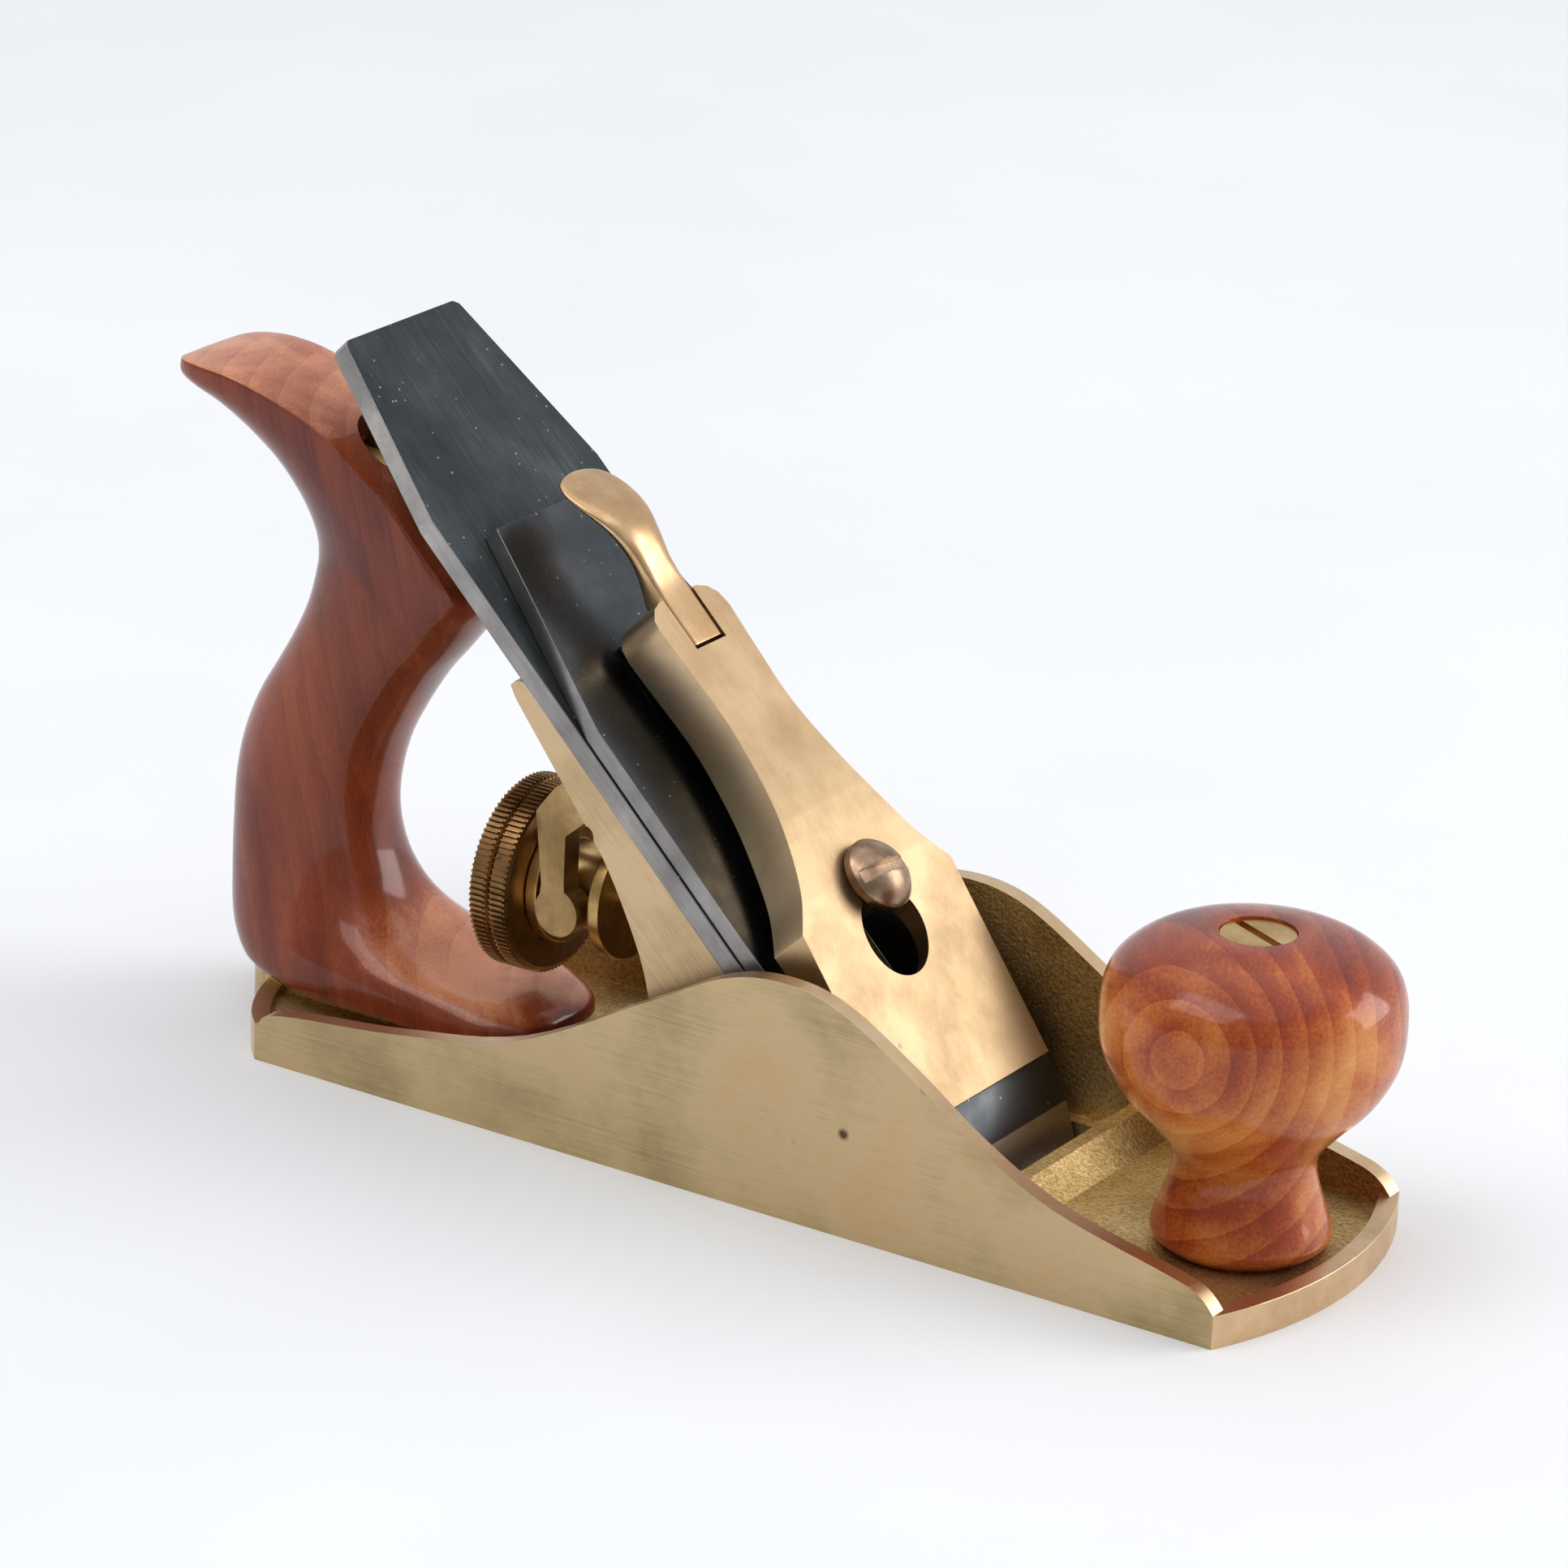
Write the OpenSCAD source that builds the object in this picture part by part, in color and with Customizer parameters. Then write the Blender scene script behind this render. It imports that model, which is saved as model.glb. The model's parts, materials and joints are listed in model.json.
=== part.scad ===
// Small bronze bench plane of the smallest size, with a cherry tote and knob.
// Millimetres. +X points to the toe, +Z up. The origin is on the sole's face,
// on its centreline, halfway between the heel and toe corner arcs.
// The iron's bed has its own directions: up the bed, across, and off the bed.

/* [Sole and walls] */
// Length of the sole between the two end arcs
sole_l = 142; // [138:1:146]
// Width of the casting
sole_w = 41.1; // [40:0.1:44]
// Thickness of the sole
sole_t = 3; // [2.5:0.1:3.4]
// Thickness of a side wall
wall_t = 2.2; // [1.8:0.1:2.4]
// Radius of the toe's end arc in plan
toe_r = 46.6; // [40:0.5:60]
// Radius of the heel's end arc in plan
heel_r = 27.9; // [26:0.5:34]
// Height of the walls at their highest point
wall_h = 28; // [26:0.5:30]
// Height of the rim around the toe
toe_rim_h = 3.9; // [3.6:0.1:4.6]
// Width of the rim around the toe and heel
rim_w = 2.2; // [1.4:0.1:2.4]
// Height of the cross ridge in front of the mouth
ridge_h = 6; // [5:0.1:7]
// Radius of the heel's tongue, which carries the end of the tote
tongue_r = 8; // [7:0.1:9]

/* [Bed and mouth] */
// Angle of the iron's bed from the sole
bed_a = 45; // [45:1:45]
// Where the bed plane meets the sole's face
mouth_x = 24.5; // [24:0.1:25]
// Front edge of the mouth
mouth_front = 30.4; // [30:0.1:31]
// Width of the mouth
mouth_w = 33; // [32.6:0.1:34]

/* [Iron and cap iron] */
// Width of the iron
iron_w = 31.75; // [31:0.05:32]
// Thickness of the iron
iron_t = 2.5; // [2.2:0.1:2.5]
// Distance of the iron's top end up the bed
iron_top = 118.3; // [112:0.1:120]
// Where the iron starts to narrow
iron_shoulder = 95; // [93:0.5:97]
// Width of the iron's top end
iron_top_w = 21.5; // [18:0.5:24]
// Bevel angle of the cutting edge
bevel_a = 25; // [23:1:30]
// Distance of the cap iron's top end up the bed
cap_top = 90.8; // [88:0.1:92]
// Thickness of the cap iron
cap_t = 2.2; // [2:0.1:2.3]
// Height of the cap iron's hump off the bed
hump_h = 6.4; // [6.2:0.1:6.4]

/* [Lever cap] */
// Width of the lever cap's wide end
lever_w = 30.4; // [29:0.1:30.6]
// Distance of the lever cap's lower lip up the bed
lever_low = 8.7; // [8.5:0.1:9]
// Distance of the lever cap's top end up the bed
lever_top = 73.6; // [73:0.1:75]
// Distance of the lever cap's shoulders up the bed
lever_shoulder = 33; // [31:0.5:34]
// Radius of the keyhole's round end
keyhole_r = 5.3; // [5.2:0.1:5.6]
// Distance of the lever cap screw up the bed
cap_screw_s = 34.8; // [34:0.1:35.4]
// Slide from the locked place to the keyhole's round end
keyhole_travel = 6; // [5.8:0.1:6.2]

/* [Frog] */
// Width of the frog
frog_w = 31; // [30:0.1:31.4]
// Distance of the frog's top up the bed
frog_top = 75; // [74:0.1:76]
// Height of the frog's seat above the sole's face
seat_h = 6; // [5.6:0.1:6.4]

/* [Depth adjustment] */
// Radius of the knurled wheel
wheel_r = 11.4; // [10.5:0.1:11.6]
// Thickness of the knurled wheel
wheel_t = 5.2; // [4.8:0.1:5.2]
// Height of the depth stud's axis above the sole's face
stud_z = 23.3; // [22.9:0.1:23.7]

/* [Handles] */
// Height of the tote's base
tote_base = 5; // [4.6:0.1:5.4]
// Width of the tote's grip
tote_w = 17; // [16:0.5:19]
// Width of the tote's foot
tote_foot_w = 23; // [21:0.5:24]
// Place of the knob's axis
knob_x = 57.7; // [57:0.1:58.2]
// Greatest radius of the knob
knob_r = 16.7; // [16:0.1:17]
// Height of the knob's top above the sole's face
knob_top = 39.4; // [38:0.1:41]

/* [Hidden] */
$fn = 48;

half_l = sole_l / 2;
half_w = sole_w / 2;
toe_corner = half_l - toe_r + sqrt(toe_r * toe_r - half_w * half_w);
heel_corner = -half_l + heel_r - sqrt(heel_r * heel_r - half_w * half_w);
tongue_x = heel_corner - 5.7;
fit = 0.05;

// Bronze of the castings, and the other finishes
bronze = "#b59a67";
steel = "#4a5058";
cherry = "#8a4527";

// A smooth line through a few points: each stretch is a cubic whose ends lean
// the way that their neighbours lie.
function stretch(a, b, c, d, t) =
    0.5 * (2 * b + (c - a) * t + (2 * a - 5 * b + 4 * c - d) * t * t
           + (3 * b - a - 3 * c + d) * t * t * t);
function smooth(p, steps = 6) =
    let (last = len(p) - 1)
    [for (i = [0 : last - 1]) for (k = [0 : steps - 1])
        stretch(p[max(i - 1, 0)], p[i], p[i + 1], p[min(i + 2, last)], k / steps),
     p[last]];
function flipped(p) = [for (i = [len(p) - 1 : -1 : 0]) [p[i][0], -p[i][1]]];

// Puts a piece on the bed: its X runs up the bed and its Z stands off the bed.
module on_bed() {
    translate([mouth_x, 0, 0])
        rotate([0, 180 + bed_a, 0])
            rotate([180, 0, 0])
                children();
}

// Stands a side view, drawn in X and Z, up as a plate of the given width.
module side_plate(width) {
    rotate([90, 0, 0])
        translate([0, 0, -width / 2])
            linear_extrude(width)
                children();
}

// Lays a side view, drawn up and off the bed, as a plate across the bed.
module bed_plate(width) {
    on_bed()
        rotate([90, 0, 0])
            translate([0, 0, -width / 2])
                linear_extrude(width)
                    children();
}

// A slot with round ends along X, between two centres.
module slot(from, to, radius, height) {
    translate([from, -radius, 0])
        cube([to - from, 2 * radius, height]);
    for (x = [from, to])
        translate([x, 0, 0])
            cylinder(r = radius, h = height);
}

// A domed or flat round head with a screwdriver slot, its underside at zero.
module slotted_head(radius, height, slot_w, slot_d, dome = 0) {
    top = height + dome;
    difference() {
        if (dome > 0)
            intersection() {
                cylinder(r = radius, h = top);
                translate([0, 0, top - dome_r(radius, dome)])
                    sphere(r = dome_r(radius, dome));
            }
        else
            cylinder(r = radius, h = height);
        translate([-radius - 1, -slot_w / 2, top - slot_d])
            cube([2 * radius + 2, slot_w, slot_d + 1]);
    }
}
function dome_r(radius, dome) = (radius * radius + dome * dome) / (2 * dome);

/* ---- the casting ---- */

wall_line = smooth([[heel_corner, 0.01], [heel_corner + 0.4, 4.2],
                    [heel_corner + 3.6, 6.3], [-42, 8.3], [-25, 11.9],
                    [-7, 21.4], [2.5, 26.5], [10, wall_h], [17.5, 26.7],
                    [27.1, 21.3], [36, 15.4], [46, 10.6], [60.6, 7.1],
                    [63.6, 6.2], [65.2, 5.1], [toe_corner, toe_rim_h]]);

// The sole's plan: a straight strip whose two ends are cut to arcs.
module strip_plan(inset = 0) {
    difference() {
        translate([-half_l + inset, -half_w + inset])
            square([sole_l - 2 * inset, sole_w - 2 * inset]);
        end_waste(half_l - toe_r, toe_r - inset, toe_corner, 1);
        end_waste(heel_r - half_l, heel_r - inset, heel_corner, -1);
    }
}
module end_waste(centre, radius, corner, side) {
    difference() {
        translate([side > 0 ? corner - 6 : corner - 12, -half_w - 1])
            square([18, sole_w + 2]);
        translate([centre, 0])
            circle(r = radius, $fn = 160);
    }
}

module tongue(height) {
    translate([tongue_x, 0, 0])
        cylinder(r = tongue_r, h = height);
}

module body() {
    color(bronze)
    difference() {
        union() {
            linear_extrude(sole_t)
                strip_plan();
            intersection() {
                difference() {
                    linear_extrude(wall_h + 1)
                        strip_plan();
                    translate([-sole_l, -half_w + wall_t, sole_t])
                        cube([2 * sole_l, sole_w - 2 * wall_t, wall_h + 1]);
                }
                side_plate(sole_w)
                    polygon(concat([[-half_l - 20, 0], [-half_l - 20, 4.6],
                                    [heel_corner + 0.3, 4.6]],
                                   [for (p = wall_line)
                                    if (p[1] > 4.6) p],
                                   [[toe_corner, toe_rim_h],
                                    [half_l + 1, toe_rim_h], [half_l + 1, 0]]));
            }
            difference() {
                linear_extrude(toe_rim_h)
                    strip_plan();
                translate([0, 0, sole_t])
                    linear_extrude(toe_rim_h)
                        strip_plan(rim_w);
            }
            tongue(tote_base);
            tote_seat();
            knob_seat();
            frog_seat();
            ridge();
        }
        mouth();
        tote_rod_bore();
        knob_rod_bore();
        for (y = [-frog_screw_y, frog_screw_y])
            translate([frog_screw_x, y, 1])
                cylinder(r = frog_screw_r, h = seat_h);
    }
}

// Raised pad under the tote, with round ends.
module tote_seat() {
    linear_extrude(tote_base) {
        translate([tongue_x, -tongue_r])
            square([tote_toe_x - tongue_x - 4, 2 * tongue_r]);
        translate([tote_toe_x - 5, 0])
            circle(r = 4.5);
        translate([tote_toe_x - 8, 0])
            circle(r = 7);
    }
}
module knob_seat() {
    translate([knob_x, 0, 0])
        cylinder(r = 8.2, h = sole_t + 0.2);
}

// Ridge across the casting in front of the mouth, sloped down to the toe.
module ridge() {
    side_plate(sole_w - wall_t)
        polygon([[mouth_front, 1], [mouth_front, 3.6], [32.4, ridge_h],
                 [34.2, ridge_h], [38, sole_t - 0.5], [38, 1]]);
}

// Seat for the frog's foot and the short ramp behind the mouth.
seat_back = -12;
seat_front = 13.5;
ramp_gap = 1.4;
module frog_seat() {
    side_plate(sole_w - wall_t)
        polygon([[seat_back, 1], [seat_back, seat_h], [seat_front, seat_h],
                 [seat_front, 4.4], [mouth_x - ramp_gap - 4.4, 4.4],
                 [mouth_x - ramp_gap - 1, 1]]);
}
module mouth() {
    translate([0, -mouth_w / 2, 0])
        rotate([90, 0, 0])
            translate([0, 0, -mouth_w])
                linear_extrude(mouth_w)
                    polygon([[mouth_x - ramp_gap + 1, -1],
                             [mouth_x - ramp_gap - 4.6, 4.6],
                             [mouth_x - ramp_gap - 4.6, wall_h],
                             [mouth_front - 1, wall_h],
                             [mouth_front, 3.6], [mouth_front, -1]]);
}

/* ---- the frog ---- */

frog_screw_x = 4;
frog_screw_y = 9;
frog_screw_r = 2;
foot_t = 3;
trough_w = 12;
trough_low = 51;
rib_t = 3.4;
rib_line = smooth([[-29.4, 50.4], [-24, 43.4], [-19.6, 37.6], [-16.3, 32.9],
                   [-12.4, 25.1], [-10.6, 19.4], [-9.6, 12], [-9.4, seat_h + fit]], 4);
frog_face = mouth_x - fit / sin(bed_a);
bed_foot = frog_face - seat_h - fit;
frog_head = [frog_face - frog_top * cos(bed_a), frog_top * sin(bed_a)];

module frog_side_view() {
    polygon(concat([[frog_head[0] + 1.1, frog_head[1] - 1.1],
                    [frog_head[0] + 0.4, frog_head[1] - 0.5],
                    [frog_head[0] - 0.3, frog_head[1] - 0.3],
                    [frog_head[0] - 1, frog_head[1] - 0.5],
                    [frog_head[0] - 1.6, frog_head[1] - 1.1]], rib_line,
                   [[bed_foot - 2.2, seat_h + fit], [bed_foot, seat_h + fit]]));
}

module frog() {
    color(bronze)
    difference() {
        union() {
            difference() {
                side_plate(frog_w)
                    frog_side_view();
                frog_hollow();
            }
            stud_boss();
            yoke_lugs();
            cap_screw_boss();
        }
        on_bed()
            translate([trough_low, -trough_w / 2, -12])
                cube([40, trough_w, 14]);
        on_bed()
            translate([cap_screw_s, 0, screw_low - 0.6])
                cylinder(r = cap_screw_r, h = 9);
        depth_axis()
            translate([0, 0, stud_from])
                cylinder(r = stud_r, h = stud_to - stud_from);
        yoke_pin_bore();
        for (y = [-frog_screw_y, frog_screw_y]) {
            translate([0, y, 0])
                slot(frog_screw_x - 1.2, frog_screw_x + 1.2, 2.3, 12);
            translate([0, y, seat_h + foot_t])
                slot(frog_screw_x - 1.2, frog_screw_x + 1.2, 4.6, 40);
        }
    }
}
// The hollow behind the face plate, between the two side ribs.
module frog_hollow() {
    plate_back = frog_face - 4 / sin(bed_a);
    low = seat_h + foot_t;
    side_plate(frog_w - 2 * rib_t)
        polygon([[-60, low], [plate_back - low, low], [plate_back - 70, 70], [-60, 70]]);
}
module stud_boss() {
    intersection() {
        depth_axis()
            translate([0, 0, stud_from])
                cylinder(r = 4.2, h = 20);
        side_plate(frog_w)
            polygon([[-40, 8], [mouth_x - 9, 8], [mouth_x - 50, 49], [-40, 49]]);
    }
}
module cap_screw_boss() {
    on_bed()
        translate([cap_screw_s, 0, -7])
            cylinder(r = 5, h = 4);
}
yoke_gap = 8;
lug_t = 2.2;
module yoke_lugs() {
    for (side = [-1, 1])
        on_bed()
            translate([yoke_s, side * (yoke_gap / 2 + lug_t / 2), 0])
                rotate([90, 0, 0])
                    translate([0, 0, -lug_t / 2])
                        linear_extrude(lug_t)
                            polygon([[-5, -3.5], [5, -3.5], [2.4, yoke_n - 2.2],
                                     [-2.4, yoke_n - 2.2]]);
}

module frog_screws() {
    color(bronze)
    for (y = [-frog_screw_y, frog_screw_y])
        translate([frog_screw_x, y, 0]) {
            translate([0, 0, seat_h + foot_t + 0.9])
                slotted_head(3.6, 2.3, 1, 1.2);
            translate([0, 0, 1.3])
                cylinder(r = frog_screw_r - 0.02, h = seat_h + foot_t);
        }
}
module frog_washers() {
    color(bronze)
    for (y = [-frog_screw_y, frog_screw_y])
        translate([frog_screw_x, y, seat_h + foot_t + fit])
            difference() {
                cylinder(r = 4, h = 0.8);
                translate([0, 0, -1])
                    cylinder(r = 2.1, h = 3);
            }
}

/* ---- iron and cap iron ---- */

edge_s = -iron_t;
bevel_l = iron_t / tan(bevel_a);
iron_slot_r = 4.3;
cap_slot_r = 3.5;
cap_screw_r = 2.9;
screw_low = -4.4;
iron_screw_s = 70;
iron_screw_r = 3;
yoke_hole_s = 60;

module blade() {
    color(steel)
    on_bed()
        difference() {
            linear_extrude(iron_t)
                polygon([[edge_s, -iron_w / 2], [iron_shoulder, -iron_w / 2],
                         [iron_top - 0.6, -iron_top_w / 2],
                         [iron_top, -iron_top_w / 2 + 0.8],
                         [iron_top, iron_top_w / 2 - 0.8],
                         [iron_top - 0.6, iron_top_w / 2],
                         [iron_shoulder, iron_w / 2], [edge_s, iron_w / 2]]);
            rotate([90, 0, 0])
                translate([0, 0, -iron_w])
                    linear_extrude(2 * iron_w)
                        polygon([[edge_s - 1, -1], [edge_s + bevel_l, -1],
                                 [edge_s + bevel_l, 0], [edge_s, iron_t],
                                 [edge_s - 1, iron_t]]);
            translate([0, 0, -1])
                slot(26, 76, iron_slot_r, iron_t + 2);
            translate([24, 0, -1])
                cylinder(r = 6.6, h = iron_t + 2);
        }
}

hump_s = 8;
module cap_iron() {
    color(steel)
    on_bed()
        difference() {
            intersection() {
                rotate([90, 0, 0])
                    translate([0, 0, -iron_w])
                        linear_extrude(2 * iron_w)
                            cap_side_view();
                translate([0, 0, -1])
                    linear_extrude(20)
                        polygon([[-5, -cap_w / 2], [cap_bend, -cap_w / 2],
                                 [cap_top, -cap_top_w / 2], [cap_top, cap_top_w / 2],
                                 [cap_bend, cap_w / 2], [-5, cap_w / 2]]);
            }
            translate([0, 0, -1])
                slot(cap_screw_s - 8, cap_screw_s + 8, cap_slot_r, 20);
            translate([yoke_hole_s - 2.2, -3, -1])
                cube([4.4, 6, 20]);
            translate([iron_screw_s, 0, -1])
                cylinder(r = iron_screw_r, h = 20);
        }
}
cap_w = 31.2;
cap_top_w = 20;
cap_bend = 65;
module cap_side_view() {
    rise = hump_h - iron_t - cap_t;
    polygon(concat([[cap_top, iron_t], [cap_top, iron_t + cap_t]],
                   smooth([[24, iron_t + cap_t], [18, iron_t + cap_t + 0.35 * rise],
                           [hump_s + 4, hump_h - 0.25], [hump_s, hump_h],
                           [4, hump_h - 0.9], [1, hump_h - 2.4], [-1.2, iron_t + 0.2]], 4),
                   [[-1.2, iron_t], [0.4, iron_t]],
                   smooth([[2.2, hump_h - 3.4], [5, hump_h - cap_t - 0.1],
                           [hump_s + 2, hump_h - cap_t], [18, iron_t + 0.3],
                           [22, iron_t]], 4)));
}

module cap_iron_screw() {
    color(steel)
    on_bed()
        translate([iron_screw_s, 0, 0]) {
            cylinder(r = iron_screw_r - 0.02, h = iron_t + cap_t - 0.1);
            rotate([180, 0, 0])
                slotted_head(5, 2.2, 1.2, 1.2);
        }
}

/* ---- lever cap ---- */

lever_h = 12.8;
lip_gap = 0.12;
neck_half = 6.1;
lever_line = smooth([[lever_shoulder, lever_w / 2], [37.4, 11.8], [43, 9.3],
                     [49, 7.4], [57, neck_half], [64, 6.3], [70, 6.7]]);
lever_plan = concat([[lever_low, lever_w / 2]], lever_line,
                    [[71.8, 6.3], [73, 5.2], [lever_top, 3.6]]);
cam_slot_w = 5.8;
strap_w = 5.2;
pin_s = 69.5;
pin_n = 9;
pin_l = 11;
pocket_r = 4.6;
rail_n = 6.6;

module lever_cap() {
    color(bronze)
    on_bed()
        difference() {
            intersection() {
                linear_extrude(20)
                    polygon(concat(lever_plan, flipped(lever_plan)));
                rotate([90, 0, 0])
                    translate([0, 0, -iron_w])
                        linear_extrude(2 * iron_w)
                            lever_side_view();
            }
            lever_hollow();
            keyhole();
            across_bed(pin_s, pin_n, cam_slot_w)
                cylinder(r = pocket_r, h = cam_slot_w);
            translate([66.94, -cam_slot_w / 2, 0])
                cube([20, cam_slot_w, 20]);
            across_bed(pin_s, pin_n, pin_l + 0.2)
                cylinder(r = pin_r, h = pin_l + 0.2);
            translate([rivet_s, 0, rail_n - 1])
                cylinder(r = rivet_r, h = 3.4);
        }
}
// Side view of the lever cap's outside, up and off the bed.
module lever_side_view() {
    polygon(concat([[lever_low, hump_h + lip_gap], [lever_low, hump_h + 0.9],
                    [lever_shoulder, 11.7]],
                   smooth([[36, 12.2], [45, 12.9], [57, lever_h], [lever_top, lever_h]], 4),
                   [[lever_top, rail_n], [14, rail_n]]));
}
module lever_hollow() {
    hollow_half = neck_half - 2.6;
    translate([44, -hollow_half, 0])
        cube([18, 2 * hollow_half, lever_h - 3.2]);
    translate([17, -11.5, 0])
        cube([17, 23, 8.4]);
}
module keyhole() {
    hole_s = cap_screw_s - keyhole_travel;
    translate([hole_s, 0, 0])
        cylinder(r = keyhole_r, h = 20);
    slot(hole_s, cap_screw_s, cap_screw_r + 0.25, 20);
}
module across_bed(s, n, width) {
    translate([s, 0, n])
        rotate([90, 0, 0])
            translate([0, 0, -width / 2])
                children();
}

head_n = 12.8;
module lever_cap_screw() {
    color(bronze)
    on_bed()
        translate([cap_screw_s, 0, 0]) {
            translate([0, 0, head_n])
                rotate([0, 0, 84])
                    slotted_head(4.4, 1, 1.4, 1.8, 2.3);
            translate([0, 0, screw_low])
                cylinder(r = cap_screw_r - 0.03, h = head_n - screw_low + 0.2);
        }
}

spring_w = 9;
spring_t = 0.6;
rivet_s = 56;
rivet_r = 1.2;
module leaf_spring() {
    color(steel)
    on_bed()
        difference() {
            rotate([90, 0, 0])
                translate([0, 0, -spring_w / 2])
                    linear_extrude(spring_w)
                        polygon([[53, rail_n - spring_t - 0.05], [58, rail_n - spring_t - 0.05],
                                 [66, spring_low], [72.5, spring_low],
                                 [72.5, spring_low + spring_t], [66, spring_low + spring_t],
                                 [58, rail_n - 0.05], [53, rail_n - 0.05]]);
            translate([rivet_s, 0, 0])
                cylinder(r = rivet_r + 0.05, h = 10);
        }
}
spring_low = iron_t + cap_t + 0.12;
module spring_rivet() {
    color(bronze)
    on_bed()
        translate([rivet_s, 0, 0]) {
            translate([0, 0, rail_n - spring_t - 0.7])
                cylinder(r = 2, h = 0.6);
            translate([0, 0, rail_n - spring_t - 0.2])
                cylinder(r = rivet_r - 0.02, h = 3.2);
        }
}

pin_r = 1.5;
cam_r = 3.45;
lever_profile = smooth([[67.4, lever_h - 0.1], [74, lever_h], [80, 13.6],
                        [86, 12.9], [91.6, 10.6]], 5);
module cam_lever() {
    color(bronze)
    on_bed()
        difference() {
            union() {
                intersection() {
                    rotate([90, 0, 0])
                        translate([0, 0, -7])
                            linear_extrude(14)
                                polygon(concat(lever_profile,
                                        [[91.9, 10.1], [91.4, 9.7]],
                                        smooth([[86, 11.6], [80, 11.7], [76, 10.8]], 4),
                                        [[73, 8.6], [69, 7], [67.4, 9.6]]));
                    linear_extrude(20)
                            polygon(concat(lever_blade, flipped(lever_blade)));
                }
                across_bed(pin_s, pin_n, strap_w)
                    cylinder(r = cam_r, h = strap_w);
            }
            across_bed(pin_s, pin_n, 20)
                cylinder(r = pin_r + fit, h = 20);
        }
}
lever_blade = concat([[66, strap_w / 2], [75.5, strap_w / 2]],
                     smooth([[76.5, 2.7], [80, 3.2], [84, 4.2], [88, 4.8], [90.6, 4.2],
                             [91.8, 2.4]], 4));
module cam_pin() {
    color(bronze)
    on_bed()
        across_bed(pin_s, pin_n, pin_l)
            cylinder(r = pin_r - 0.02, h = pin_l);
}

/* ---- depth adjustment ---- */

stud_r = 1.9;
stud_back = 5.9;
stud_from = 20.1;
stud_to = 30.2;
groove_r = 5;
flange_r = 7.4;

// The depth stud's axis: Z runs forwards along it, and zero is the middle of
// the wheel.
wheel_at = [-36.1, 0, stud_z];
module depth_axis() {
    translate(wheel_at)
        rotate([0, 90, 0])
            children();
}
module depth_stud() {
    color(bronze)
    depth_axis()
        translate([0, 0, -stud_back])
            cylinder(r = stud_r - 0.03, h = stud_back + stud_to - 0.4);
}
// Grooved hub of the adjusting nut, with its front flange.
flange_t = 1.6;
groove_from = wheel_t / 2 + fit + flange_t;
groove_l = 7;
module depth_nut() {
    color(bronze)
    depth_axis()
        difference() {
            union() {
                for (z = [groove_from - flange_t, groove_from + groove_l])
                    translate([0, 0, z])
                        cylinder(r = flange_r, h = flange_t);
                translate([0, 0, groove_from - 0.5])
                    cylinder(r = groove_r, h = groove_l + 1);
            }
            translate([0, 0, -20])
                cylinder(r = stud_r + fit, h = 60);
        }
}
module depth_wheel() {
    color(bronze)
    depth_axis()
        difference() {
            for (z = [-1, 1])
                translate([0, 0, z * wheel_t / 4 - wheel_t / 4])
                    rotate_extrude($fn = 96)
                        polygon([[0, 0], [wheel_r - 0.3, 0], [wheel_r, 0.35],
                                 [wheel_r, wheel_t / 2 - 0.5],
                                 [wheel_r - 0.45, wheel_t / 2], [0, wheel_t / 2]]);
            translate([0, 0, -20])
                cylinder(r = stud_r + fit, h = 60);
            translate([0, 0, wheel_t / 2 - 1])
                difference() {
                    cylinder(r = wheel_r - 1.4, h = 2);
                    translate([0, 0, -1])
                        cylinder(r = groove_r, h = 5);
                }
        }
}

yoke_s = 57;
yoke_n = -5.5;
yoke_pin_r = 1.2;
arm_in = 5.6;
arm_t = 2.9;
pivot = [mouth_x + (yoke_n - yoke_s) * cos(bed_a), (yoke_s + yoke_n) * sin(bed_a)];
pad_at = groove_from + groove_l / 2 + 0.05;
pad = [wheel_at[0] + pad_at, stud_z - 0.5];
pad_r = 2.9;
module yoke() {
    color(bronze)
    difference() {
        union() {
            for (side = [-1, 1])
                translate([0, side * (arm_in + arm_t / 2), 0])
                    side_plate(arm_t) {
                        translate(pad)
                            circle(r = pad_r);
                        polygon([[pad[0] - 2.4, pad[1] + 1.2], [pad[0] + 1.2, pad[1] + 1.2],
                                 [pad[0] + 1, pad[1] + 3.8], [pad[0] + 1.1, pad[1] + 9.5],
                                 [pad[0] - 1.3, pad[1] + 11.7], [pad[0] - 3, pad[1] + 11.8],
                                 [pad[0] - 2.1, pad[1] + 3.1]]);
                    }
            side_plate(2 * (arm_in + arm_t))
                polygon([[pad[0] - 3, pad[1] + 11.8], [pad[0] + 1.1, pad[1] + 9.5],
                         [pivot[0] - 4.2, pivot[1] - 1.2], [pivot[0] - 4.2, pivot[1] + 2.6],
                         [pad[0] - 0.4, pad[1] + 15.2]]);
            side_plate(yoke_gap - 0.6) {
                polygon([[pivot[0] - 4.6, pivot[1] - 1.2], [pivot[0], pivot[1] - 2],
                         [pivot[0] + 0.6, pivot[1] + 2.4], [pivot[0] - 4.6, pivot[1] + 2.6]]);
                translate(pivot)
                    circle(r = 2.4);
            }
            finger();
        }
        yoke_pin_bore(fit);
    }
}
module finger() {
    tip_r = 1.3;
    tip_n = iron_t + 0.8;
    bed_plate(5) {
        polygon([[yoke_s - 2, yoke_n], [yoke_hole_s - tip_r, -0.6],
                 [yoke_hole_s - tip_r, tip_n], [yoke_hole_s + tip_r, tip_n],
                 [yoke_hole_s + tip_r, -0.6], [yoke_s + 2.2, yoke_n]]);
        translate([yoke_hole_s, tip_n])
            circle(r = tip_r);
    }
}
module yoke_pin_bore(extra = 0) {
    translate([pivot[0], 0, pivot[1]])
        rotate([90, 0, 0])
            translate([0, 0, -20])
                cylinder(r = yoke_pin_r + extra, h = 40);
}
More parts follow.
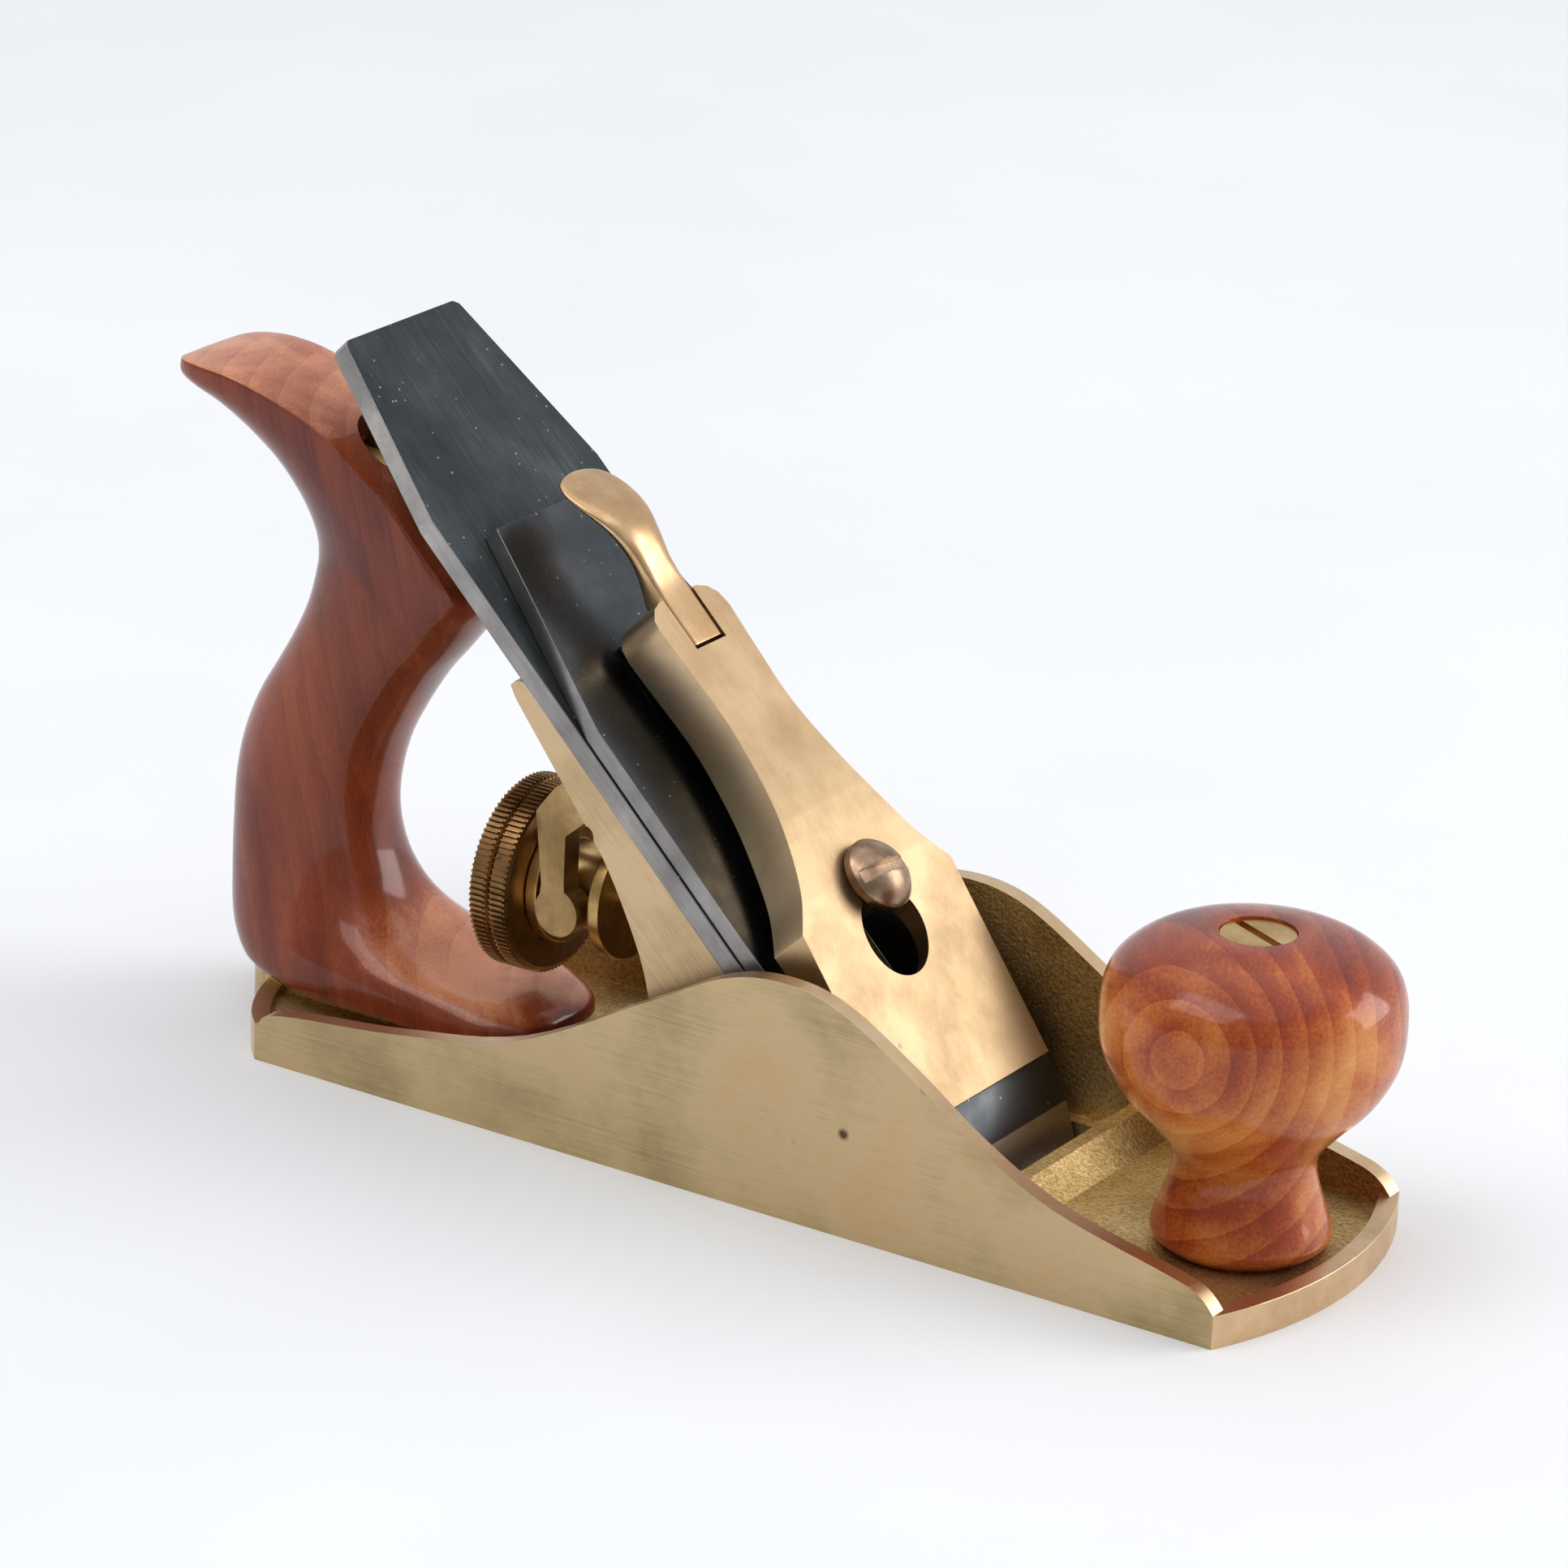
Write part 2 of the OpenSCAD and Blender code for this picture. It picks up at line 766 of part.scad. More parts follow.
module yoke_pin() {
    color(bronze)
    translate([pivot[0], 0, pivot[1]])
        rotate([90, 0, 0])
            translate([0, 0, -(yoke_gap / 2 + lug_t)])
                cylinder(r = yoke_pin_r - 0.02, h = yoke_gap + 2 * lug_t);
}

/* ---- tote and knob ---- */

tote_toe_x = -31.5;
tote_back = smooth([[-72.6, tote_base], [-76.4, 7], [-78.4, 18], [-78.1, 28],
                    [-75, 38], [-70, 46.5], [-67.2, 54.7], [-68.6, 62],
                    [-73.9, 68.1], [-79.3, 71.9], [-85.6, 74.6]], 5);
tote_crown = smooth([[-87, 75.6], [-84, 77], [-78.5, 77.7], [-71, 76.4],
                     [-64, 74.1], [-57, 69.9], [-50, 64.4], [-43.1, 57.1]], 5);
tote_front = smooth([[-42.6, 54.6], [-47.5, 48.2], [-52.3, 42.5], [-57.4, 33.2],
                     [-58.9, 24.5], [-57.2, 18], [-51.9, 12.9], [-43, 9.8],
                     [-35.5, 8.4], [-32, 6.6], [tote_toe_x, tote_base]], 5);
rod_top = [-58, 71.2];
rod_foot = [-66, 1.2];
rod_a = atan2(rod_foot[0] - rod_top[0], rod_top[1] - rod_foot[1]);
rod_l = norm(rod_top - rod_foot);
rod_r = 2;

module tote_axis() {
    translate([rod_foot[0], 0, rod_foot[1]])
        rotate([0, -rod_a, 0])
            children();
}
module tote_rod_bore() {
    tote_axis()
        cylinder(r = rod_r, h = 12);
}

// Side view of the tote, drawn in along its back and front but not along its
// crown or its foot, for the rounded edges of the grip.
module tote_view(inset) {
    raised = [for (p = tote_crown) p + [0, 20]];
    intersection() {
        polygon(concat(tote_back, tote_crown, tote_front));
        offset(r = -inset)
            polygon(concat([[tote_back[0][0], tote_base - 20]], tote_back, raised,
                           tote_front, [[tote_toe_x, tote_base - 20]]));
    }
}
module tote() {
    color(cherry)
    difference() {
        union() {
            intersection() {
                union() {
                    side_plate(tote_w * 0.5)
                        tote_view(0);
                    side_plate(tote_w * 0.78)
                        tote_view(1.1);
                    side_plate(tote_w)
                        tote_view(2.8);
                }
                horn_plan();
            }
            tote_foot();
        }
        tote_axis()
            cylinder(r = rod_r + 0.2, h = rod_l + 20);
        tote_axis()
            translate([0, 0, rod_l - 5.4])
                cylinder(r = 4.4, h = 30);
    }
}
// Plan of the grip, round at the tip of the horn.
module horn_plan() {
    tip_l = 8;
    linear_extrude(100) {
        translate([tote_crown[0][0] + tip_l, -tote_w / 2])
            square([60, tote_w]);
        translate([tote_crown[0][0] + tip_l, 0])
            scale([2 * tip_l / tote_w, 1])
                circle(d = tote_w);
    }
}
// The wide foot, with a round toe, under the slope of the tote's front.
module tote_foot() {
    foot = tote_foot_w / 2;
    intersection() {
        side_plate(tote_foot_w)
            intersection() {
                tote_view(0.6);
                translate([-100, 0])
                    square([100, 9.6]);
            }
        translate([0, 0, tote_base - 1])
            linear_extrude(12)
                union() {
                    translate([tongue_x + 2, -foot])
                        square([tote_toe_x - foot * 0.9 - tongue_x - 2, 2 * foot]);
                    for (end = [[tote_toe_x - foot * 0.9, 0.9], [tongue_x + 2, 0.8]])
                        translate([end[0], 0])
                            scale([end[1], 1])
                                circle(r = foot);
                }
    }
}
module tote_rod() {
    color(bronze)
    tote_axis()
        cylinder(r = rod_r - 0.03, h = rod_l - 3);
}
module tote_nut() {
    color(bronze)
    tote_axis()
        difference() {
            translate([0, 0, rod_l - 5.2])
                cylinder(r = 4.2, h = 3.4);
            translate([0, 0, rod_l - 6])
                cylinder(r = rod_r + 0.02, h = 3);
            translate([-6, -0.6, rod_l - 2.7])
                cube([12, 1.2, 2]);
        }
}

knob_line = smooth([[8.8, sole_t + 0.25], [10, 4.8], [8.9, 8.4], [7.9, 12.1],
                    [8.4, 14.8], [11, 17.9], [14.2, 21.4], [16.3, 25.6],
                    [knob_r, 30.2], [16.2, 33.6], [14.7, 35.9], [11.6, 38],
                    [7, knob_top - 0.2], [4.4, knob_top]], 5);
nut_r = 4.2;
module knob() {
    color(cherry)
    translate([knob_x, 0, 0])
        difference() {
            rotate_extrude($fn = 96)
                polygon(concat([[0, sole_t + 0.25]], knob_line, [[0, knob_top]]));
            translate([0, 0, -1])
                cylinder(r = rod_r + 0.2, h = 60);
            translate([0, 0, knob_top - 3.4])
                cylinder(r = nut_r + 0.1, h = 6);
        }
}
module knob_rod_bore() {
    translate([knob_x, 0, 0.8])
        cylinder(r = rod_r, h = 10);
}
module knob_rod() {
    color(bronze)
    translate([knob_x, 0, 1])
        cylinder(r = rod_r - 0.03, h = knob_top - 2.6);
}
module knob_nut() {
    color(bronze)
    translate([knob_x, 0, knob_top - 3.2])
        difference() {
            cylinder(r = nut_r, h = 2.9);
            translate([0, 0, -1])
                cylinder(r = rod_r + 0.02, h = 2.7);
            rotate([0, 0, -26])
                translate([-6, -0.55, 2.1])
                    cube([12, 1.1, 2]);
        }
}

body();
frog();
frog_screws();
frog_washers();
blade();
cap_iron();
cap_iron_screw();
lever_cap();
lever_cap_screw();
leaf_spring();
spring_rivet();
cam_lever();
cam_pin();
depth_stud();
depth_nut();
depth_wheel();
yoke();
yoke_pin();
tote();
tote_rod();
tote_nut();
knob();
knob_rod();
knob_nut();
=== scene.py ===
"""Looks of a small bronze bench plane: its castings, iron, screws and cherry handles, on a pale floor."""

import json
import math

import bpy
from mathutils import Matrix, Vector

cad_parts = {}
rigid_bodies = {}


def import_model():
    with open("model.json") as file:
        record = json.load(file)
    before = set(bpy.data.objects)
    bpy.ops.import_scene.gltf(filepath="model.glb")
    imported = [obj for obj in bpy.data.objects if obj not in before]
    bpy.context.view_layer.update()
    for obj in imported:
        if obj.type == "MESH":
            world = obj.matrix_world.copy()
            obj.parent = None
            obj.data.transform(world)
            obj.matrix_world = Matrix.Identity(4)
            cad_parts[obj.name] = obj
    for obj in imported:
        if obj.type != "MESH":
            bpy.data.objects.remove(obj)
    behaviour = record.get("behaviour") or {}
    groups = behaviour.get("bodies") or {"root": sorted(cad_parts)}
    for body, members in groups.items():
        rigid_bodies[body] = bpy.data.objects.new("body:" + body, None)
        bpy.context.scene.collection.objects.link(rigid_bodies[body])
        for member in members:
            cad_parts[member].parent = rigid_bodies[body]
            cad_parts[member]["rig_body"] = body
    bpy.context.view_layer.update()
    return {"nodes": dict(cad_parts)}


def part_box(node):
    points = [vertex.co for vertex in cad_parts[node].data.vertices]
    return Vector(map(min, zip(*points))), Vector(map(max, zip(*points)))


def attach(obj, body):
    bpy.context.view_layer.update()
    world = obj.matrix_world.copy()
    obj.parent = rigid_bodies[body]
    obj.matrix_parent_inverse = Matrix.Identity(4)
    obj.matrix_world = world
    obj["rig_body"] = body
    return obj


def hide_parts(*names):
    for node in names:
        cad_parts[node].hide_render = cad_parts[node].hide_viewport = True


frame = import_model()

MM = 0.001

# ---------------------------------------------------------------------------
# The camera
# A long lens looks down on the toe's near corner, and is tipped a little. Its
# place and its three axes are given in the object's own frame.
# ---------------------------------------------------------------------------

CAMERA_AT = (382.985 * MM, -598.054 * MM, 311.949 * MM)
CAMERA_RIGHT = (0.83284, 0.5526, 0.03179)
CAMERA_UP = (-0.22098, 0.27929, 0.93443)
CAMERA_BACK = (0.50749, -0.78525, 0.35472)
SENSOR_MM = 36.0
LENS_MM = 156.53

bpy.ops.object.select_all(action="DESELECT")
bpy.ops.object.camera_add(location=CAMERA_AT)
camera = bpy.context.object
camera.name = "camera"
turn = Matrix((CAMERA_RIGHT, CAMERA_UP, CAMERA_BACK)).transposed()
camera.rotation_euler = turn.to_euler()
camera.data.sensor_width = SENSOR_MM
camera.data.lens = LENS_MM
camera.data.clip_start = 0.02
camera.data.clip_end = 20.0
bpy.context.scene.camera = camera

# ---------------------------------------------------------------------------
# The casting
# One bronze casting: sole, side cheeks, frog seat and tote pad. Its outside is
# ground and brushed along its length, the rest is left as it left the sand.
# ---------------------------------------------------------------------------


def linear(code):
    """A hex sRGB colour as linear red, green, blue and alpha."""
    parts = [int(code[i : i + 2], 16) / 255 for i in (1, 3, 5)]
    return [p / 12.92 if p <= 0.04045 else ((p + 0.055) / 1.055) ** 2.4 for p in parts] + [1.0]


def add(tree, kind, links=None, **settings):
    """Adds one node. A link is (node, output); a setting named as an input sets it, else an attribute."""
    node = tree.nodes.new(kind)
    for name, value in settings.items():
        if name == "ramp":
            ramp = node.color_ramp
            while len(ramp.elements) < len(value):
                ramp.elements.new(0.5)
            for element, (place, colour) in zip(ramp.elements, value):
                element.position = place
                element.color = linear(colour) if isinstance(colour, str) else [colour] * 3 + [1]
        elif hasattr(node, name):
            setattr(node, name, value)
        else:
            node.inputs[name.replace("_", " ")].default_value = value
    for name, (source, output) in (links or {}).items():
        key = name if isinstance(name, int) else name.replace("_", " ")
        tree.links.new(source.outputs[output], node.inputs[key])
    return node


def new_material(name, **settings):
    """A material with its Principled shader, whose plain settings are given here."""
    material = bpy.data.materials.new(name)
    material.use_nodes = True
    tree = material.node_tree
    shader = tree.nodes["Principled BSDF"]
    for key, value in settings.items():
        shader.inputs[key.replace("_", " ")].default_value = value
    place = add(tree, "ShaderNodeTexCoord")
    return material, tree, shader, place


def wire(tree, source, output, shader, socket):
    """Links one output to one of the shader's sockets."""
    tree.links.new(source.outputs[output], shader.inputs[socket])


def cast_metal(name, tones, roughness, grit_mm, depth):
    """Sand-cast bronze: a grain of pits left by the sand, darker where oxide sits in the hollows."""
    material, tree, shader, place = new_material(name, Metallic=1.0)
    patch = add(tree, "ShaderNodeTexNoise", {"Vector": (place, "Object")}, Scale=70.0, Detail=5.0)
    grit = add(tree, "ShaderNodeTexNoise", {"Vector": (place, "Object")},
               Scale=1.0 / (grit_mm * MM), Detail=3.0, Roughness=0.7)
    mixed = add(tree, "ShaderNodeMath", {0: (patch, "Fac"), 1: (grit, "Fac")}, operation="MULTIPLY")
    colour = add(tree, "ShaderNodeValToRGB", {"Fac": (mixed, "Value")}, ramp=tones)
    wire(tree, colour, "Color", shader, "Base Color")
    rough = add(tree, "ShaderNodeMapRange", {"Value": (grit, "Fac")}, To_Min=roughness + 0.12,
                To_Max=roughness - 0.1)
    wire(tree, rough, "Result", shader, "Roughness")
    bump = add(tree, "ShaderNodeBump", {"Height": (grit, "Fac")}, Strength=depth, Distance=0.25 * MM)
    wire(tree, bump, "Normal", shader, "Normal")
    return material


def brushed_metal(name, tones, roughness, along, line_mm, lines=0.35, patch_mm=18.0, specks=0.0,
                  speck_tone="#5a4632", speck_gate=0.54, bump_depth=0.12, turn_y=0.0):
    """Metal ground or brushed one way: fine lines along it, soft patches of tarnish, and small spots."""
    material, tree, shader, place = new_material(name, Metallic=1.0)
    turned = add(tree, "ShaderNodeMapping", {"Vector": (place, "Object")}, Rotation=(0.0, turn_y, 0.0))
    across = 1.0 / (line_mm * MM)
    stretch = [across, across, across]
    stretch["XYZ".index(along)] = across / 60.0
    drawn = add(tree, "ShaderNodeMapping", {"Vector": (turned, "Vector")}, Scale=tuple(stretch))
    line = add(tree, "ShaderNodeTexNoise", {"Vector": (drawn, "Vector")}, Scale=1.0, Detail=3.0,
               Roughness=0.65)
    patch = add(tree, "ShaderNodeTexNoise", {"Vector": (place, "Object")},
                Scale=1.0 / (patch_mm * MM), Detail=6.0, Roughness=0.6)
    line_part = add(tree, "ShaderNodeMath", {0: (line, "Fac")}, operation="MULTIPLY_ADD")
    line_part.inputs[1].default_value = lines
    line_part.inputs[2].default_value = -lines / 2
    tone = add(tree, "ShaderNodeMath", {0: (patch, "Fac"), 1: (line_part, "Value")}, operation="ADD")
    colour = add(tree, "ShaderNodeValToRGB", {"Fac": (tone, "Value")}, ramp=tones)
    last, output = colour, "Color"
    if specks:
        dot = add(tree, "ShaderNodeTexVoronoi", {"Vector": (place, "Object")}, Scale=specks)
        gate = add(tree, "ShaderNodeTexNoise", {"Vector": (place, "Object")}, Scale=specks * 0.45,
                   Detail=2.0)
        spot = add(tree, "ShaderNodeMapRange", {"Value": (dot, "Distance")}, From_Min=0.05,
                   From_Max=0.12, To_Min=1.0, To_Max=0.0)
        some = add(tree, "ShaderNodeMapRange", {"Value": (gate, "Fac")}, From_Min=speck_gate,
                   From_Max=speck_gate + 0.06)
        share = add(tree, "ShaderNodeMath", {0: (spot, "Result"), 1: (some, "Result")},
                    operation="MULTIPLY")
        last = add(tree, "ShaderNodeMix", {"Factor": (share, "Value"), 6: (colour, "Color")},
                   data_type="RGBA")
        last.inputs[7].default_value = linear(speck_tone)
        output = 2
    wire(tree, last, output, shader, "Base Color")
    rough = add(tree, "ShaderNodeMapRange", {"Value": (tone, "Value")}, From_Min=0.3, From_Max=0.7,
                To_Min=roughness + 0.08, To_Max=roughness - 0.06)
    wire(tree, rough, "Result", shader, "Roughness")
    bump = add(tree, "ShaderNodeBump", {"Height": (line, "Fac")}, Strength=bump_depth,
               Distance=0.06 * MM)
    wire(tree, bump, "Normal", shader, "Normal")
    return material


def only(obj):
    """Selects one object and nothing else."""
    bpy.ops.object.select_all(action="DESELECT")
    obj.select_set(True)
    bpy.context.view_layer.objects.active = obj


def rounded(piece, chosen, edge_mm, segments):
    """Rounds the sharp edges that chosen() says yes to, by the middle of each edge."""
    bpy.ops.object.mode_set(mode="OBJECT")
    mesh = piece.data
    for part in (mesh.vertices, mesh.edges, mesh.polygons):
        part.foreach_set("select", [False] * len(part))
    sides = {}
    for face in mesh.polygons:
        for key in face.edge_keys:
            sides.setdefault(key, []).append(face.normal)
    for edge in mesh.edges:
        pair = sides.get(edge.key, [])
        middle = (mesh.vertices[edge.vertices[0]].co + mesh.vertices[edge.vertices[1]].co) / 2
        sharp = len(pair) == 2 and pair[0].angle(pair[1], 0.0) > math.radians(30)
        edge.select = sharp and chosen(middle, pair)
    bpy.ops.object.mode_set(mode="EDIT")
    bpy.ops.mesh.select_mode(type="EDGE")
    bpy.ops.mesh.bevel(offset=edge_mm * MM, segments=segments, affect="EDGES", clamp_overlap=True)
    bpy.ops.object.mode_set(mode="OBJECT")


def worked_copy(node, edge_mm, angle=32.0, segments=2, soft=None):
    """A copy of a CAD piece with its sharp edges broken, as a file or a mould leaves them."""
    source = frame["nodes"][node]
    piece = bpy.data.objects.new(node + "_piece", source.data.copy())
    bpy.context.scene.collection.objects.link(piece)
    only(piece)
    bpy.ops.object.mode_set(mode="EDIT")
    bpy.ops.mesh.select_all(action="SELECT")
    bpy.ops.mesh.remove_doubles(threshold=0.002 * MM)
    bpy.ops.mesh.dissolve_limited(angle_limit=math.radians(0.3))
    bpy.ops.object.mode_set(mode="OBJECT")
    for chosen, soft_mm in soft or []:
        rounded(piece, chosen, soft_mm, 4)
    if edge_mm:
        broken = piece.modifiers.new("edges", "BEVEL")
        broken.width = edge_mm * MM
        broken.segments = segments
        broken.limit_method = "ANGLE"
        broken.angle_limit = math.radians(angle)
        broken.use_clamp_overlap = True
        bpy.ops.object.modifier_apply(modifier="edges")
    bpy.ops.object.shade_smooth_by_angle(angle=math.radians(38))
    even = piece.modifiers.new("normals", "WEIGHTED_NORMAL")
    even.keep_sharp = True
    bpy.ops.object.modifier_apply(modifier="normals")
    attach(piece, source["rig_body"])
    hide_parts(node)
    return piece


def dress(piece, *materials):
    """Gives a piece its materials in order, and no others."""
    piece.data.materials.clear()
    for material in materials:
        piece.data.materials.append(material)


# Ground bronze, brushed with a fine belt along the length: warm yellow lines
# with tea-coloured tarnish and a few sunk dark pits.
ground_bronze = brushed_metal(
    "ground_bronze", [(0.30, "#a6926c"), (0.45, "#bda67c"), (0.56, "#cab189"), (0.72, "#c9a37a")],
    0.36, "X", 0.16, specks=140.0)
# Bronze polished on a wheel: pink where the hand has rubbed it.
polished_bronze = brushed_metal(
    "polished_bronze", [(0.30, "#c6a780"), (0.5, "#dabb93"), (0.7, "#e8cda8")],
    0.32, "X", 0.3, lines=0.15, patch_mm=9.0, bump_depth=0.04)
# Bronze as cast in fine sand.
cast_bronze = cast_metal(
    "cast_bronze", [(0.10, "#7a6140"), (0.20, "#b3955f"), (0.30, "#d2b47c"), (0.44, "#ecd7a6")],
    0.44, 0.45, 0.7)

TOE_X = 55.0 * MM
RIM_TOP = 3.9 * MM
RIM_FLOOR = 3.0 * MM
RIM_X = 66.0 * MM
WALL_FOOT_Y = 17.0 * MM


def rim_lip(middle, pair):
    """The top edges of the rim around the toe, inside and out."""
    return middle.x > TOE_X and abs(middle.z - RIM_TOP) < 0.05 * MM and abs(middle.y) < 15.0 * MM


def rim_foot(middle, pair):
    """The inside corner where the rim meets the floor of the toe, left as a fillet by the mould."""
    inside_corner = pair[0].z * pair[1].z < 0.1
    by_rim = middle.x > RIM_X or abs(middle.y) > WALL_FOOT_Y
    return middle.x > TOE_X and abs(middle.z - RIM_FLOOR) < 0.05 * MM and inside_corner and by_rim


casting = worked_copy("body", 0.3, soft=[(rim_foot, 0.45), (rim_lip, 0.42)])
dress(casting, cast_bronze, ground_bronze, polished_bronze)
# The cheeks and sole are ground, and the walls' tops and the toe's rim are polished.
CHEEK_Y = 20.5 * MM
WALL_INSIDE_Y = 18.3 * MM
END_X = 55.0 * MM
RIM_X_INSIDE = 52.0 * MM
GROUND, POLISHED = 1, 2
for face in casting.data.polygons:
    y = abs(face.center.y)
    n = face.normal
    if abs(n.y) > 0.9 and y > CHEEK_Y:
        face.material_index = GROUND
    elif n.z < -0.9 and face.center.z < 0.5 * MM:
        face.material_index = GROUND
    elif y > WALL_INSIDE_Y and abs(n.y) < 0.9:
        face.material_index = POLISHED
    elif abs(n.x) > 0.5 and abs(face.center.x) > END_X and face.center.z < 4.2 * MM:
        face.material_index = POLISHED if face.center.x > 0 else GROUND
    elif n.z > 0.5 and 3.4 * MM < face.center.z < 4.5 * MM and abs(face.center.x) > RIM_X_INSIDE:
        face.material_index = POLISHED

# ---------------------------------------------------------------------------
# The frog and its screws
# A bronze casting that beds the iron at 45 degrees, ground on its sides, held
# down by two cheese-head screws with washers.
# ---------------------------------------------------------------------------

# Ground bronze again, lined along the bed, and a little paler than the walls.
frog_bronze = brushed_metal(
    "frog_bronze", [(0.30, "#b49a76"), (0.45, "#c9ae86"), (0.6, "#d8bc96"), (0.75, "#cfa680")],
    0.4, "X", 0.2, turn_y=math.radians(-45), specks=150.0)
frog = worked_copy("frog", 0.25)
dress(frog, cast_bronze, frog_bronze)
FROG_SIDE_Y = 15.4 * MM
for face in frog.data.polygons:
    if abs(face.normal.y) > 0.9 and abs(face.center.y) > FROG_SIDE_Y:
        face.material_index = GROUND

# Free-cutting brass from the lathe: yellow, with fine rings left by the tool.
turned_brass = brushed_metal(
    "turned_brass", [(0.30, "#a88452"), (0.5, "#c8a668"), (0.7, "#dcc08a")],
    0.3, "Z", 0.25, lines=0.2, patch_mm=5.0, bump_depth=0.08)
for node in ("frog_screws", "frog_washers", "cam_pin", "spring_rivet", "depth_stud", "yoke_pin",
             "tote_rod", "knob_rod"):
    dress(worked_copy(node, 0.12), turned_brass)

# ---------------------------------------------------------------------------
# The iron and its cap iron
# Tool steel ground on a wheel along its length, dark and blue-grey, with a
# harder shine on the cap iron, whose front is bent to a hump.
# ---------------------------------------------------------------------------

# Tool steel off the grinding wheel: near black, with lengthwise lines and pale
# dust. The lines are drawn coarser than the real ones, so that they show.
ground_steel = brushed_metal(
    "ground_steel", [(0.20, "#2d3133"), (0.45, "#3b4043"), (0.60, "#484d50"), (0.85, "#676c6f")],
    0.38, "X", 0.13, lines=0.7, patch_mm=14.0, turn_y=math.radians(-45), specks=650.0, speck_gate=0.47,
    speck_tone="#9aa0a4", bump_depth=0.1)
# The edges and sides, ground last and still bright, and also painted paler: a painted highlight where they
# catch the light.
edge_steel_painted_highlight = brushed_metal(
    "edge_steel_painted_highlight", [(0.30, "#837f7c"), (0.5, "#9c9895"), (0.7, "#b8b4b0")],
    0.3, "X", 0.2, lines=0.3, patch_mm=10.0, turn_y=math.radians(-45))
# The cap iron's face, polished so that the shavings slide: smoother and dark.
polished_steel = brushed_metal(
    "polished_steel", [(0.30, "#3d4043"), (0.5, "#4c4f52"), (0.7, "#616467")],
    0.27, "X", 0.2, lines=0.2, patch_mm=10.0, turn_y=math.radians(-45), specks=650.0, speck_gate=0.47,
    speck_tone="#a7a9aa", bump_depth=0.05)
OFF_BED = Vector((math.sqrt(0.5), 0.0, math.sqrt(0.5)))
EDGE = 1
blade = worked_copy("blade", 0.15)
dress(blade, ground_steel, edge_steel_painted_highlight)
cap_iron = worked_copy("cap_iron", 0.12)
dress(cap_iron, polished_steel, edge_steel_painted_highlight)
# Faces off the flat of the bed take the paler steel: partly fresh-ground edges, partly a painted
# highlight.
for piece in (blade, cap_iron):
    for face in piece.data.polygons:
        if abs(face.normal.dot(OFF_BED)) < 0.9:
            face.material_index = EDGE
dress(worked_copy("cap_iron_screw", 0.15), polished_steel)
dress(worked_copy("leaf_spring", 0.05), polished_steel)

# ---------------------------------------------------------------------------
# The lever cap and its screw
# A bronze casting ground on its face, with a keyhole over a round-headed
# brass screw, and a slot at its top for the cam lever.
# ---------------------------------------------------------------------------

# Bronze ground on the lever cap's face: satin, with faint stains from hands.
cap_bronze = brushed_metal(
    "cap_bronze", [(0.22, "#a58a6a"), (0.44, "#b89c78"), (0.60, "#c4a883"), (0.84, "#bb9a78")],
    0.46, "X", 0.16, turn_y=math.radians(-45), lines=0.3, patch_mm=11.0, specks=200.0,
    speck_tone="#6d5260")
lever_cap = worked_copy("lever_cap", 0.45)
dress(lever_cap, polished_bronze, cap_bronze)
for face in lever_cap.data.polygons:
    if face.normal.dot(OFF_BED) > 0.9:
        face.material_index = GROUND
# The cap screw's brass, brown with age.
aged_brass = brushed_metal(
    "aged_brass", [(0.30, "#7d6450"), (0.5, "#99806a"), (0.7, "#b89d80")],
    0.3, "X", 0.3, lines=0.1, patch_mm=3.0, turn_y=math.radians(-45), bump_depth=0.03)
dress(worked_copy("lever_cap_screw", 0.15), aged_brass)

# ---------------------------------------------------------------------------
# The cam lever
# A small bronze casting with a thumb spoon, polished all over.
# ---------------------------------------------------------------------------


def between(a, b, c, d, t):
    """One number on the smooth line that runs from b to c."""
    return 0.5 * (2 * b + (c - a) * t + (2 * a - 5 * b + 4 * c - d) * t * t
                  + (3 * b - a - 3 * c + d) * t ** 3)


def eased(rows, steps):
    """Rows of numbers, with smooth steps put in between them."""
    last = len(rows) - 1
    out = []
    for i in range(last):
        four = [rows[max(i - 1, 0)], rows[i], rows[i + 1], rows[min(i + 2, last)]]
        for k in range(steps):
            out.append([between(*column, k / steps) for column in zip(*four)])
    return out + [list(rows[last])]


def lofted(name, rings):
    """A closed skin through rings of points, capped at both ends."""
    around = len(rings[0])
    faces = [[r * around + i, r * around + (i + 1) % around, (r + 1) * around + (i + 1) % around,
              (r + 1) * around + i] for r in range(len(rings) - 1) for i in range(around)]
    faces += [list(range(around))[::-1], [(len(rings) - 1) * around + i for i in range(around)]]
    skin = bpy.data.meshes.new(name)
    skin.from_pydata([p for ring in rings for p in ring], [], faces)
    piece = bpy.data.objects.new(name, skin)
    bpy.context.scene.collection.objects.link(piece)
    only(piece)
    bpy.ops.object.mode_set(mode="EDIT")
    bpy.ops.mesh.select_all(action="SELECT")
    bpy.ops.mesh.normals_make_consistent(inside=False)
    bpy.ops.object.mode_set(mode="OBJECT")
    return piece


def powered(value, power):
    """A number raised to a power, with its own sign."""
    return math.copysign(abs(value) ** power, value)


